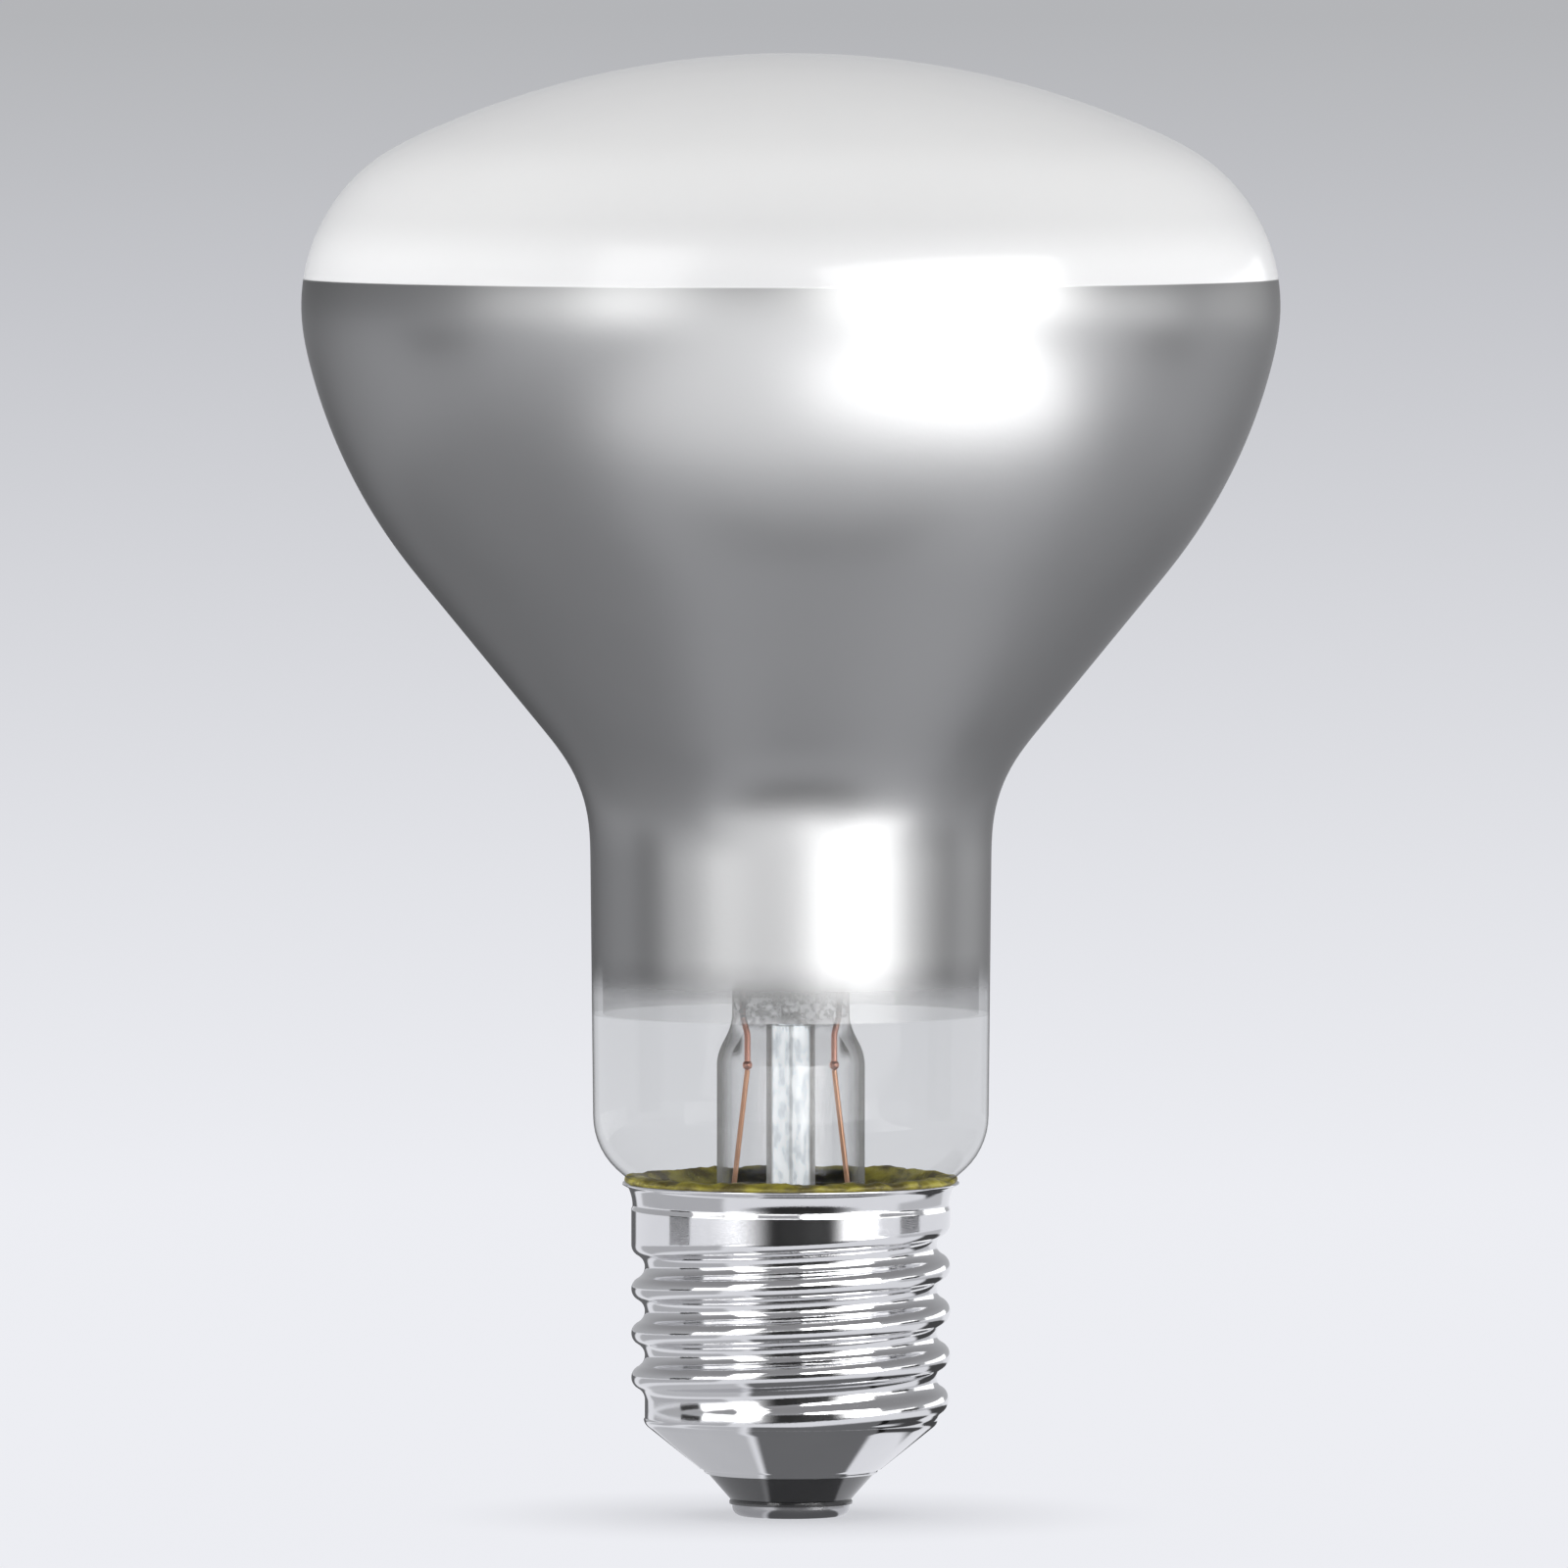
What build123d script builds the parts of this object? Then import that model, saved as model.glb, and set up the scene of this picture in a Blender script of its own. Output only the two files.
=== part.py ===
# Reflector lamp, 80 mm bulb with an E27 screw cap, standing cap down.
# Origin at the middle of the centre contact's bottom face, +Z up the lamp axis to the dome.
# The press of the glass stem is flat across X, so the two lead wires stand left and right.
from build123d import *
from math import acos, asin, ceil, cos, degrees, floor, radians, sin, sqrt
import os

# Bulb glass
overall_length = 119.6
bulb_d = 80.0
glass_t = 0.9
crown_r = 72.5
shoulder_r = 14.8
shoulder_dip = 12.0
bowl_r = 44.3
bowl_angle = 39.3
throat_r = 12.2
neck_d = 32.8
neck_taper = 0.6
heel_rise = 5.6
heel_r = 6.0
heel_angle = 50.0
tuck_r = 2.5
seal_d = 21.6
seal_z = 20.5

# Coats on the inside of the glass
coat_t = 0.12
coat_gap = 0.03
coat_edge_rise = 2.2
mirror_end_rise = 8.9

# Glass stem
flare_d = 12.1
flare_t = 1.05
flare_r = 3.6
press_w = 9.6
press_t = 4.4
press_bottom_z = 40.9
press_h = 2.9
press_fall = 3.8
press_steps = 4
press_edge_r = 0.88
exhaust_d = 4.0
exhaust_t = 0.7
exhaust_top_z = 40.2
exhaust_tip_z = 14.5
exhaust_hole_d = 1.6
rod_d = 2.6
rod_h = 24.0
button_d = 4.6
button_h = 3.0
button_edge_r = 0.8

# Wires
seal_wire_d = 0.5
seal_wire_x = 3.92
seal_wire_step = 0.37
seal_wire_end_z = 36.9
knot_d = 0.8
outer_wire_d = 0.43
outer_wire_x = 4.65
outer_wire_bend = 2.5
shell_wire_bend = 0.8
shell_wire_drop = 3.0
shell_wire_rise = 3.4
shell_wire_tip = 0.6
inner_wire_d = 0.7
inner_wire_bend = 2.8
inner_wire_run = 4.8
filament_z = 76.0
filament_r = 11.0
filament_d = 0.9
support_count = 3
support_wire_d = 0.4
support_wire_bend = 1.6
support_seat = 1.2
support_eye_turn = 250

# Screw cap
cap_top_z = 27.1
shell_t = 0.3
mouth_flare = 0.46
mouth_r = 3.5
collar_d = 25.9
collar_z = 25.15
thread_d = 26.1
thread_root_d = 23.9
thread_pitch = 25.4 / 7
thread_root_z = 22.2
thread_end_z = 8.0
thread_sides = 16
thread_steps = 8
groove_fade = 20, 110
ridge_fade = -1450, -1210
ledge_d = 24.3
ledge_h = 0.3
cone_bottom_d = 14.6
cone_bottom_z = 3.75
cone_lip_d = 14.2
cone_lip_h = 0.3
insulator_top_z = 6.6
insulator_bottom_d = 9.9
insulator_rim_d = 10.1
insulator_rim_h = 0.35
lead_hole_d = 1.6

# Centre contact, solder and cement
contact_d = 9.6
contact_h = 1.0
contact_t = 0.4
contact_edge_r = 0.75
side_solder_d = 2.4
cement_rise = 0.95
cement_depth = 3.2

bulb_r = bulb_d / 2
neck_r = neck_d / 2
seal_r = seal_d / 2
crown_angle = degrees(asin((bulb_r - shoulder_r) / (crown_r - shoulder_r)))
widest_z = overall_length - crown_r + (crown_r - shoulder_r) * cos(radians(crown_angle))
heel_z = cap_top_z + heel_rise
coat_edge_z = widest_z + coat_edge_rise
mirror_end_z = heel_z + mirror_end_rise


def slope_length(start_r, end_r, angle):
    """Length of a straight stretch that leans by angle from the axis."""
    return (start_r - end_r) / sin(radians(angle))


def bulb_line(inset):
    """Half outline of the bulb, a chain of tangent arcs, moved in from the outer face by inset."""
    tilt = cos(radians(neck_taper))
    bowl_end_r = bulb_r - shoulder_r * (1 - cos(radians(shoulder_dip)))
    bowl_end_r -= bowl_r * (cos(radians(shoulder_dip)) - cos(radians(bowl_angle)))
    throat_start_r = neck_r + throat_r * (tilt - cos(radians(bowl_angle)))
    bowl_line = slope_length(bowl_end_r, throat_start_r, bowl_angle)

    crown = JernArc((0, overall_length - inset), (1, 0), crown_r - inset, -crown_angle)
    shoulder_turn = 90 - crown_angle + shoulder_dip
    shoulder = JernArc(crown @ 1, crown % 1, shoulder_r - inset, -shoulder_turn)
    bowl = JernArc(shoulder @ 1, shoulder % 1, bowl_r - inset, shoulder_dip - bowl_angle)
    wall = Line(bowl @ 1, bowl @ 1 + (bowl % 1) * bowl_line)
    throat = JernArc(wall @ 1, wall % 1, throat_r + inset, bowl_angle - neck_taper)
    outer_throat_z = (throat @ 1).Y + inset * sin(radians(neck_taper))
    neck_line = (outer_throat_z - heel_z) / tilt
    neck = Line(throat @ 1, throat @ 1 + (throat % 1) * neck_line)
    heel = JernArc(neck @ 1, neck % 1, heel_r - inset, neck_taper - heel_angle)
    neck_end_r = neck_r - neck_line * sin(radians(neck_taper))
    heel_end_r = neck_end_r - heel_r * (tilt - cos(radians(heel_angle)))
    tuck_start_r = seal_r + tuck_r * (1 - cos(radians(heel_angle)))
    heel_line = slope_length(heel_end_r, tuck_start_r, heel_angle)
    slope = Line(heel @ 1, heel @ 1 + (heel % 1) * heel_line)
    tuck = JernArc(slope @ 1, slope % 1, tuck_r + inset, heel_angle)
    return Line(tuck @ 1, ((tuck @ 1).X, seal_z))


def bulb_wall(outer_inset, inner_inset):
    """Ring of wall between two insets of the bulb's outline."""
    with BuildLine() as outline:
        outer = bulb_line(outer_inset)
        inner = bulb_line(inner_inset)
        Line((0, overall_length - outer_inset), (0, overall_length - inner_inset))
        Line(outer @ 1, inner @ 1)
    make_face(outline.edges())


def coat(bottom_z, top_z):
    """Stretch of the coat on the inside of the glass between two heights."""
    outer_inset = glass_t + coat_gap
    bulb_wall(outer_inset, outer_inset + coat_t)
    with Locations((0, bottom_z)):
        Rectangle(bulb_d, top_z - bottom_z, align=(Align.MIN, Align.MIN), mode=Mode.INTERSECT)


def wire(points, bend_r, diameter):
    """Round wire along straight runs joined by bends."""
    with BuildLine() as route:
        FilletPolyline(*points, radius=bend_r)
    path = route.wire()
    with BuildSketch(Plane(origin=path @ 0, z_dir=path % 0)) as section:
        Circle(diameter / 2)
    sweep(section.sketch, path=path)


# The bulb is blown and drawn in one piece of glass, from the dome down to the seal in the cap.
with BuildPart() as glass_bulb:
    with BuildSketch(Plane.XZ):
        bulb_wall(0, glass_t)
    revolve(axis=Axis.Z)
glass_bulb.part.label = "glass_bulb"

# White diffusing coat inside the dome.
with BuildPart() as diffuser_coating:
    with BuildSketch(Plane.XZ):
        coat(coat_edge_z, overall_length)
    revolve(axis=Axis.Z)
diffuser_coating.part.label = "diffuser_coating"

# Aluminium mirror inside the bowl and the upper neck.
with BuildPart() as reflector_coating:
    with BuildSketch(Plane.XZ):
        coat(mirror_end_z, coat_edge_z)
    revolve(axis=Axis.Z)
reflector_coating.part.label = "reflector_coating"

# Seal wires run through the press and end below it in a knot, where the thin copper starts.
press_top_z = press_bottom_z + press_h
knot_x = seal_wire_x - seal_wire_step


def seal_wire(side):
    """Wire through the press on one side, with its knot."""
    points = (
        (side * seal_wire_x, 0, press_top_z),
        (side * seal_wire_x, 0, press_bottom_z),
        (side * knot_x, 0, press_bottom_z - 4 * seal_wire_step),
        (side * knot_x, 0, seal_wire_end_z),
    )
    wire(points, 2 * seal_wire_d, seal_wire_d)
    with Locations((side * knot_x, 0, seal_wire_end_z)):
        Sphere(knot_d / 2)


with BuildPart() as seal_wire_left:
    seal_wire(-1)
seal_wire_left.part.label = "seal_wire_left"

with BuildPart() as seal_wire_right:
    seal_wire(1)
seal_wire_right.part.label = "seal_wire_right"

# Exhaust tube, fused into the press and closed with a round tip inside the cap.
exhaust_r = exhaust_d / 2
with BuildPart() as exhaust_tube:
    with BuildSketch(Plane.XZ):
        with BuildLine():
            bore_r = exhaust_r - exhaust_t
            Line((0, exhaust_tip_z), (0, exhaust_tip_z + exhaust_t))
            bore_tip = CenterArc((0, exhaust_tip_z + exhaust_r), bore_r, -90, 90)
            Line(bore_tip @ 1, (bore_r, exhaust_top_z))
            Line((bore_r, exhaust_top_z), (exhaust_r, exhaust_top_z))
            tip = CenterArc((0, exhaust_tip_z + exhaust_r), exhaust_r, -90, 90)
            Line(tip @ 1, (exhaust_r, exhaust_top_z))
        make_face()
    revolve(axis=Axis.Z)
exhaust_tube.part.label = "exhaust_tube"

# Flare tube, pressed flat at its top around the wires and opened out at its foot to the neck's seal.
flare_tube_r = flare_d / 2
shoulder_z = press_bottom_z - press_fall


def press_sections(inset, top_z):
    """Sections of the tube's top, from its round end up to the flat press, moved in by inset."""
    sections = []
    for step in range(press_steps + 1):
        rise = step / press_steps
        ease = rise * rise * (3 - 2 * rise)
        half_w = flare_tube_r + (press_w / 2 - flare_tube_r) * ease
        half_t = flare_tube_r + (press_t / 2 - flare_tube_r) * ease
        with BuildSketch(Plane.XY.offset(shoulder_z + (top_z - shoulder_z) * rise)) as section:
            Ellipse(half_w - inset, half_t - inset)
        sections.append(section.sketch)
    return sections


with BuildPart() as stem_flare:
    loft(press_sections(0, press_bottom_z))
    with BuildSketch(Plane.XY.offset(press_bottom_z)):
        Ellipse(press_w / 2, press_t / 2)
    extrude(amount=press_h)
    fillet(edges().group_by(Axis.Z)[-1], press_edge_r)
    loft(press_sections(flare_t, exhaust_top_z), mode=Mode.SUBTRACT)
    with BuildSketch(Plane.XZ):
        with BuildLine():
            foot_z = seal_z + flare_r
            Line((flare_tube_r, shoulder_z), (flare_tube_r, foot_z))
            foot = JernArc((flare_tube_r, foot_z), (0, -1), flare_r, 90)
            Line(foot @ 1, (seal_r, seal_z))
            Line((seal_r, seal_z), (seal_r, seal_z - flare_t))
            Line((seal_r, seal_z - flare_t), foot @ 1 - (0, flare_t))
            under = JernArc((flare_tube_r - flare_t, foot_z), (0, -1), flare_r + flare_t, 90)
            Line((flare_tube_r - flare_t, foot_z), (flare_tube_r - flare_t, shoulder_z))
            Line((flare_tube_r - flare_t, shoulder_z), (flare_tube_r, shoulder_z))
        make_face()
    revolve(axis=Axis.Z)
    with Locations((0, 0, exhaust_top_z)):
        downward = (Align.CENTER, Align.CENTER, Align.MAX)
        Cylinder(exhaust_r, exhaust_d, align=downward, mode=Mode.SUBTRACT)
        Cylinder(exhaust_hole_d / 2, 2 * exhaust_hole_d, mode=Mode.SUBTRACT)
    with Locations(Location((0, 0, exhaust_top_z + exhaust_hole_d), (-90, 0, 0))):
        outward = (Align.CENTER, Align.CENTER, Align.MIN)
        Cylinder(exhaust_hole_d / 2, press_t, align=outward, mode=Mode.SUBTRACT)
    add(seal_wire_left.part, mode=Mode.SUBTRACT)
    add(seal_wire_right.part, mode=Mode.SUBTRACT)
stem_flare.part.label = "stem_flare"

# Filament, drawn as the round envelope of its coil, bent round the axis from lead to lead.
with BuildPart() as filament:
    with BuildLine(Plane.XY.offset(filament_z)) as arch:
        CenterArc((0, 0), filament_r, 0, 180)
    with BuildSketch(Plane(origin=arch.wire() @ 0, z_dir=arch.wire() % 0)):
        Circle(filament_d / 2)
    sweep(path=arch.wire())
filament.part.label = "filament"


# Support wires stand out of the rod's button, rise to the filament and hold it in an open eye.
rod_top_z = press_top_z + rod_h
button_z = rod_top_z - button_h / 2


def support_wire(angle):
    """One support wire, drawn along X and turned round the axis by angle."""
    eye_r = filament_d / 2 + support_wire_d / 2
    eye_x = filament_r - eye_r
    with BuildPart(mode=Mode.PRIVATE) as arm:
        points = (
            (button_d / 2 - support_seat, 0, button_z),
            (eye_x, 0, button_z),
            (eye_x, 0, filament_z),
        )
        wire(points, support_wire_bend, support_wire_d)
        with BuildLine(Plane.XZ) as eye:
            CenterArc((filament_r, filament_z), eye_r, 180, support_eye_turn)
        with BuildSketch(Plane(origin=eye.wire() @ 0, z_dir=eye.wire() % 0)) as section:
            Circle(support_wire_d / 2)
        sweep(section.sketch, path=eye.wire())
    add(arm.part.rotate(Axis.Z, angle))


support_wires = []
for number in range(support_count):
    with BuildPart() as support:
        support_wire(180 * (number + 1) / (support_count + 1))
    support.part.label = f"support_wire_{number + 1}"
    support_wires.append(support.part)

# Glass rod that stands on the press, with the button that the supports are fused into.
with BuildPart() as arbor_rod:
    with Locations((0, 0, press_top_z)):
        Cylinder(rod_d / 2, rod_h, align=(Align.CENTER, Align.CENTER, Align.MIN))
    with Locations((0, 0, button_z)):
        Cylinder(button_d / 2, button_h)
    fillet(edges().filter_by(GeomType.CIRCLE).group_by(SortBy.RADIUS)[-1], button_edge_r)
    add(support_wires, mode=Mode.SUBTRACT)
arbor_rod.part.label = "arbor_rod"


# Inner leads stand on the seal wires, spread under the filament and clamp its ends.
def inner_lead(side):
    """Lead from the press to one end of the filament, notched for it."""
    points = (
        (side * seal_wire_x, 0, press_top_z),
        (side * seal_wire_x, 0, press_top_z + inner_wire_run),
        (side * filament_r, 0, filament_z - inner_wire_run),
        (side * filament_r, 0, filament_z + filament_d),
    )
    wire(points, inner_wire_bend, inner_wire_d)
    add(filament.part, mode=Mode.SUBTRACT)


with BuildPart() as inner_lead_left:
    inner_lead(-1)
inner_lead_left.part.label = "inner_lead_left"

with BuildPart() as inner_lead_right:
    inner_lead(1)
inner_lead_right.part.label = "inner_lead_right"


# Rolled cap shell. The thread is a wave round the axis that climbs one pitch a turn.
def wave(phase):
    """Height of the thread over its root, 0 to 1, from tangent arcs. Phase 0 is the root."""
    quarter = thread_pitch / 4
    half_depth = (thread_d - thread_root_d) / 4
    arc_r = (quarter**2 + half_depth**2) / (2 * half_depth)
    offset = abs(phase - round(phase)) * thread_pitch
    if offset <= quarter:
        rise = arc_r - sqrt(arc_r**2 - offset**2)
    else:
        rise = 2 * half_depth - arc_r + sqrt(arc_r**2 - (2 * quarter - offset) ** 2)
    return rise / (2 * half_depth)


def fade(turn, limits):
    """0 to 1 between two angles along the thread, level at both ends."""
    share = min(max((turn - limits[0]) / (limits[1] - limits[0]), 0), 1)
    return share * share * (3 - 2 * share)


def thread_radius(angle, z):
    """Outer radius of the threaded band, whose groove fades out on top and whose ridge does below."""
    depth = (thread_d - thread_root_d) / 2
    phase = (z - thread_root_z) / thread_pitch - angle / 360
    if z > (thread_root_z + thread_end_z) / 2:
        groove_turn = angle + 360 * round(phase)
        return thread_d / 2 - depth * (1 - wave(phase)) * (1 - fade(groove_turn, groove_fade))
    crest_turn = angle + 360 * (floor(phase) + 0.5)
    return thread_root_d / 2 + depth * wave(phase) * fade(crest_turn, ridge_fade)


def thread_sections(inset):
    """Level sections of the threaded band, moved in by inset. They start clear of the turned seams."""
    levels = ceil(thread_steps * (collar_z - thread_end_z) / thread_pitch)
    sections = []
    for level in range(levels + 1):
        z = thread_end_z + (collar_z - thread_end_z) * level / levels
        points = []
        for side in range(thread_sides):
            angle = 360 * (side + 0.5) / thread_sides
            r = thread_radius(angle, z) - inset
            points.append((r * cos(radians(angle)), r * sin(radians(angle))))
        with BuildSketch(Plane.XY.offset(z)) as section:
            with BuildLine() as outline:
                Spline(*points, periodic=True)
            make_face(outline.edges())
        sections.append(section.sketch)
    return sections


collar_r = collar_d / 2
mouth_angle = degrees(acos(1 - mouth_flare / mouth_r))
mouth_foot_z = cap_top_z - mouth_r * sin(radians(mouth_angle))


def collar_form(inset):
    """Half section of the collar over the thread with its flared mouth, moved in by inset."""
    r = collar_r - inset
    start_z = collar_z - 2 * shell_t
    with BuildSketch(Plane.XZ) as half:
        with BuildLine():
            side = Line((r, start_z), (r, mouth_foot_z))
            flare = JernArc(side @ 1, side % 1, mouth_r + inset, -mouth_angle)
            Polyline(flare @ 1, (0, (flare @ 1).Y), (0, start_z), side @ 0)
        make_face()
    return half.sketch


def cone_form(inset):
    """Half section of the ledge under the thread and the cone under it, moved in by inset."""
    with BuildSketch(Plane.XZ) as half:
        with BuildLine():
            Polyline(
                (0, thread_end_z + ledge_h),
                (ledge_d / 2 - inset, thread_end_z + ledge_h),
                (ledge_d / 2 - inset, thread_end_z - inset / 2),
                (cone_bottom_d / 2 - inset, cone_bottom_z + inset / 2),
                (cone_lip_d / 2 - inset, cone_bottom_z - cone_lip_h - inset),
                (0, cone_bottom_z - cone_lip_h - inset),
                close=True,
            )
        make_face()
    return half.sketch


def cap_form(inset):
    """Solid of the whole cap outline, moved in by inset."""
    loft(thread_sections(inset), ruled=True, clean=False)
    revolve(collar_form(inset), axis=Axis.Z, clean=False)
    revolve(cone_form(inset), axis=Axis.Z, clean=False)


with BuildPart() as cap_shell:
    cap_form(0)
    with BuildPart(mode=Mode.PRIVATE) as cap_hollow:
        cap_form(shell_t)
    add(cap_hollow.part, mode=Mode.SUBTRACT, clean=False)
cap_shell.part.label = "cap_shell"

# Outer leads: the right one runs down to the centre contact and the left one round to the shell.
with BuildPart() as outer_lead_contact:
    points = (
        (knot_x, 0, seal_wire_end_z - knot_d / 2),
        (outer_wire_x, 0, cap_top_z),
        (outer_wire_x, 0, exhaust_tip_z + exhaust_r),
        (0, 0, exhaust_tip_z - outer_wire_x),
        (0, 0, 0),
    )
    wire(points, outer_wire_bend, outer_wire_d)
outer_lead_contact.part.label = "outer_lead_contact"

neck_gap_y = (seal_r + thread_root_d / 2 - shell_t) / 2
wire_end_y = collar_r - shell_t - outer_wire_d / 2 - coat_gap
wire_end_z = cap_top_z - side_solder_d / 2 + mouth_flare / 2
with BuildPart() as outer_lead_shell:
    points = (
        (-knot_x, 0, seal_wire_end_z - knot_d / 2),
        (-outer_wire_x, 0, cap_top_z),
        (-outer_wire_x, 0, seal_z),
        (-outer_wire_x / 2, outer_wire_x, seal_z - shell_wire_drop),
        (0, neck_gap_y, seal_z - shell_wire_drop),
        (0, neck_gap_y, seal_z + shell_wire_rise),
        (0, wire_end_y, wire_end_z - shell_wire_tip),
        (0, wire_end_y, wire_end_z),
    )
    wire(points, shell_wire_bend, outer_wire_d)
outer_lead_shell.part.label = "outer_lead_shell"

# Space that the bulb takes up, filled, which the solder and the cement lie outside.
with BuildPart() as bulb_solid:
    with BuildSketch(Plane.XZ):
        with BuildLine():
            end = bulb_line(0)
            Polyline(end @ 1, (0, seal_z), (0, overall_length))
        make_face()
    revolve(axis=Axis.Z)

# Solder that joins the left lead to the rim at the back of the cap.
with BuildPart() as shell_solder:
    with Locations((0, collar_r + mouth_flare / 2, cap_top_z - mouth_flare / 2)):
        Sphere(side_solder_d / 2)
    add(bulb_solid.part, mode=Mode.SUBTRACT)
    add(cap_shell.part, mode=Mode.SUBTRACT, clean=False)
    add(outer_lead_shell.part, mode=Mode.SUBTRACT)
shell_solder.part.label = "shell_solder"

# Capping cement fills the gap between neck and collar and stands out over the rim.
with BuildPart() as capping_cement:
    with BuildSketch(Plane.XZ):
        with BuildLine():
            Polyline(
                (seal_r, cap_top_z - cement_depth),
                (collar_r - shell_t / 2, cap_top_z - cement_depth),
                (collar_r - shell_t / 2, mouth_foot_z),
                (collar_r + mouth_flare - shell_t / 2, cap_top_z),
                (collar_r + mouth_flare, cap_top_z),
                (collar_r + mouth_flare + cement_rise / 2, cap_top_z + cement_rise),
                (seal_r, cap_top_z + cement_rise),
                close=True,
            )
        make_face()
    revolve(axis=Axis.Z)
    add(bulb_solid.part, mode=Mode.SUBTRACT)
    add(cap_shell.part, mode=Mode.SUBTRACT, clean=False)
    add(outer_lead_shell.part, mode=Mode.SUBTRACT)
    add(shell_solder.part, mode=Mode.SUBTRACT)
capping_cement.part.label = "capping_cement"

# Black glass insulator, cast into the foot of the shell round the lead's hole.
contact_top_z = contact_h
with BuildPart() as cap_insulator:
    with BuildSketch(Plane.XZ):
        with BuildLine():
            Polyline(
                (lead_hole_d / 2, insulator_top_z),
                (ledge_d / 2, insulator_top_z),
                (cone_lip_d / 2 - shell_t, cone_bottom_z - cone_lip_h),
                (insulator_bottom_d / 2, contact_top_z + insulator_rim_h),
                (insulator_rim_d / 2, contact_top_z + insulator_rim_h / 2),
                (insulator_rim_d / 2, contact_top_z),
                (lead_hole_d / 2, contact_top_z),
                close=True,
            )
        make_face()
    revolve(axis=Axis.Z)
    with BuildPart(mode=Mode.PRIVATE) as room:
        with BuildSketch(Plane.XZ):
            add(cone_form(shell_t))
            with Locations((0, 0)):
                Rectangle(cone_lip_d / 2 - shell_t, cone_bottom_z, align=(Align.MIN, Align.MIN))
        revolve(axis=Axis.Z)
    add(room.part, mode=Mode.INTERSECT)
cap_insulator.part.label = "cap_insulator"

# Centre contact, a pressed plate with a rounded edge and a flat face for the holder's spring.
with BuildPart() as centre_contact:
    Cylinder(contact_d / 2, contact_h, align=(Align.CENTER, Align.CENTER, Align.MIN))
    fillet(edges().group_by(Axis.Z)[0], contact_edge_r)
    with Locations((0, 0, contact_h)):
        hollow_r = contact_d / 2 - contact_t
        hollow_h = contact_h - contact_t
        Cylinder(hollow_r, hollow_h, align=downward, mode=Mode.SUBTRACT)
    Cylinder(lead_hole_d / 2, 2 * contact_h, mode=Mode.SUBTRACT)
centre_contact.part.label = "centre_contact"

# Solder that fills the contact's hole flush and holds the right lead.
with BuildPart() as contact_solder:
    Cylinder(lead_hole_d / 2, 2 * contact_h, align=(Align.CENTER, Align.CENTER, Align.MIN))
    add(outer_lead_contact.part, mode=Mode.SUBTRACT)
contact_solder.part.label = "contact_solder"

os.makedirs("parts", exist_ok=True)
pieces = [
    glass_bulb.part,
    diffuser_coating.part,
    reflector_coating.part,
    stem_flare.part,
    exhaust_tube.part,
    arbor_rod.part,
    *support_wires,
    filament.part,
    inner_lead_left.part,
    inner_lead_right.part,
    seal_wire_left.part,
    seal_wire_right.part,
    outer_lead_contact.part,
    outer_lead_shell.part,
    shell_solder.part,
    capping_cement.part,
    cap_shell.part,
    cap_insulator.part,
    centre_contact.part,
    contact_solder.part,
]
for piece in pieces:
    export_step(piece, f"parts/{piece.label}.step")
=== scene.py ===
# %% [markdown]
# # Reflector lamp with a screw cap
# The lamp stands cap down. Its glass is satin white over the dome, mirrored inside the bowl
# and clear at the neck's foot, where the stem shows. The solids come packed as the frame, at
# their real place and size in metres. This script dresses them and lights them.

from math import acos, asin, atan2, ceil, cos, degrees, floor, pi, radians, sin, sqrt

import bpy
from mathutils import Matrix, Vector, noise


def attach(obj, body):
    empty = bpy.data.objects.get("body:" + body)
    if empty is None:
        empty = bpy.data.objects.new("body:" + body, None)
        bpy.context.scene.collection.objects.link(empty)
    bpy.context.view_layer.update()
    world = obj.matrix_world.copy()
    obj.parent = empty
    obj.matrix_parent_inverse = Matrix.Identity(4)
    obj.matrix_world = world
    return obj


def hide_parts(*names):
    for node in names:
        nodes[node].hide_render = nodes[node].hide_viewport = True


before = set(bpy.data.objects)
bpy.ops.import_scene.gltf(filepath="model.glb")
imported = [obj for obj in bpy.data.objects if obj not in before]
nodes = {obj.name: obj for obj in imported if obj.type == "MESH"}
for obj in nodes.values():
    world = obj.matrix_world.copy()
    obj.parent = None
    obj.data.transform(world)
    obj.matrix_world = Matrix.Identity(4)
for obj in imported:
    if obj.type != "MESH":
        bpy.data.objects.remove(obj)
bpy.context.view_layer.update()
MM = 0.001

# %% [markdown]
# ## Camera
# The picture was taken from far off, nearly level, so the lamp shows almost no perspective.
# A long lens a good metre and a half away gives the same flat look. The camera looks down by
# a few degrees, which opens the ellipses of the seam and the rim as far as in the picture.

# %% Camera
SIDE_STEP = -0.56 * MM
camera_data = bpy.data.cameras.new("camera")
camera_data.lens = 478
camera = bpy.data.objects.new("camera", camera_data)
camera.location = (SIDE_STEP, -1.7, 0.133)
aim = Vector((SIDE_STEP, 0, 0.0599))
camera.rotation_euler = (aim - camera.location).to_track_quat("-Z", "Y").to_euler()
bpy.context.scene.collection.objects.link(camera)
bpy.context.scene.camera = camera
print("camera looks down by", round(degrees(atan2(camera.location.z - aim.z, 1.7)), 2), "degrees")

# %% [markdown]
# ## Shader sums
# A finish is a small network of nodes. Written out link by link it is hard to read, so a
# socket is wrapped in a class that knows +, -, * and /. `1 - mask * 0.3` then adds its own
# Math nodes.

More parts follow.
